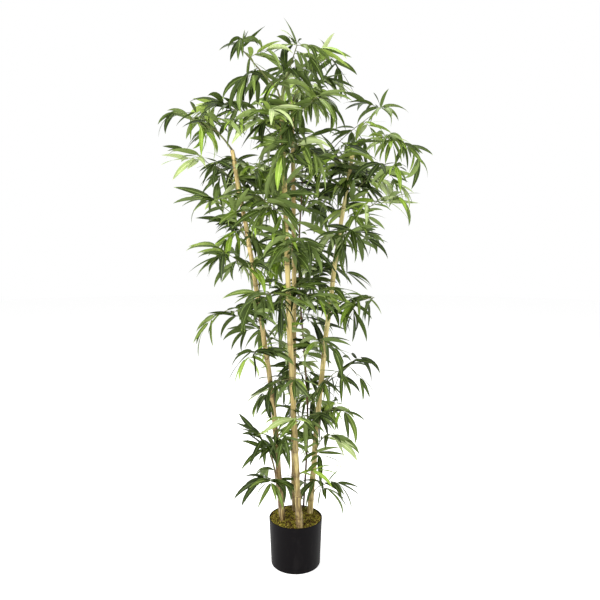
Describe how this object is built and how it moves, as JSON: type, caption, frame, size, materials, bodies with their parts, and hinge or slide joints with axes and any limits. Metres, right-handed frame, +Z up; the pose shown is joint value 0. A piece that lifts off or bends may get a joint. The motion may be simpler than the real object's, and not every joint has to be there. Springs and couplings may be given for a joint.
{
  "type": "artificial potted bamboo",
  "caption": "Tall artificial bamboo: natural canes with drooping sprays of slender green fabric leaves, set in a plain round black nursery pot topped with moss.",
  "frame": {"origin": "centre of the pot's flat underside, where it stands on the floor", "axes": "+Z up along the plant, +X to the plant's right as seen from its front, -Y towards the front"},
  "size_m": [0.8974, 0.7137, 1.8269],
  "materials": {
    "pot": "black moulded plastic, faintly glossy on the rim and side",
    "fill": "rough cast cement, hidden under the moss",
    "moss": "dry preserved moss, olive and brown, crumbly",
    "cane": "natural bamboo cane, tan to straw, dull sheen, darker at its nodes",
    "stem": "plastic-coated wire stem, olive green to brown",
    "foliage": "woven polyester leaf cloth, dark to mid green with paler midribs, some leaves yellow green"
  },
  "bodies": {
    "root": {"bough_far_left": "stem", "bough_far_right": "stem", "bough_top_left": "stem", "bough_top_middle": "stem", "bough_top_right": "stem", "cane_back": "cane", "cane_front": "cane", "cane_left": "cane", "cane_right": "cane", "cane_slim": "cane", "fill": "fill", "foliage_back_1": "foliage", "foliage_back_2": "foliage", "foliage_back_3": "foliage", "foliage_back_4": "foliage", "foliage_back_5": "foliage", "foliage_back_left": "foliage", "foliage_back_right": "foliage", "foliage_far_left": "foliage", "foliage_far_right": "foliage", "foliage_foot_left": "foliage", "foliage_foot_right": "foliage", "foliage_front_1": "foliage", "foliage_front_2": "foliage", "foliage_front_3": "foliage", "foliage_front_4": "foliage", "foliage_front_5": "foliage", "foliage_front_middle": "foliage", "foliage_inner_left": "foliage", "foliage_inner_right": "foliage", "foliage_left_1": "foliage", "foliage_left_2": "foliage", "foliage_left_3": "foliage", "foliage_left_4": "foliage", "foliage_left_5": "foliage", "foliage_left_6": "foliage", "foliage_low_left": "foliage", "foliage_low_right": "foliage", "foliage_outer_left": "foliage", "foliage_outer_right": "foliage", "foliage_right_1": "foliage", "foliage_right_2": "foliage", "foliage_right_3": "foliage", "foliage_right_4": "foliage", "foliage_right_5": "foliage", "foliage_right_6": "foliage", "foliage_right_7": "foliage", "foliage_right_8": "foliage", "foliage_top_back": "foliage", "foliage_top_left": "foliage", "foliage_top_middle": "foliage", "foliage_top_right": "foliage", "foliage_upper_back": "foliage", "foliage_upper_front": "foliage", "foliage_upper_front_left": "foliage", "foliage_upper_left": "foliage", "foliage_upper_right": "foliage", "moss_bed": "moss", "pot": "pot", "stem_left": "stem"}
  },
  "joints": []
}
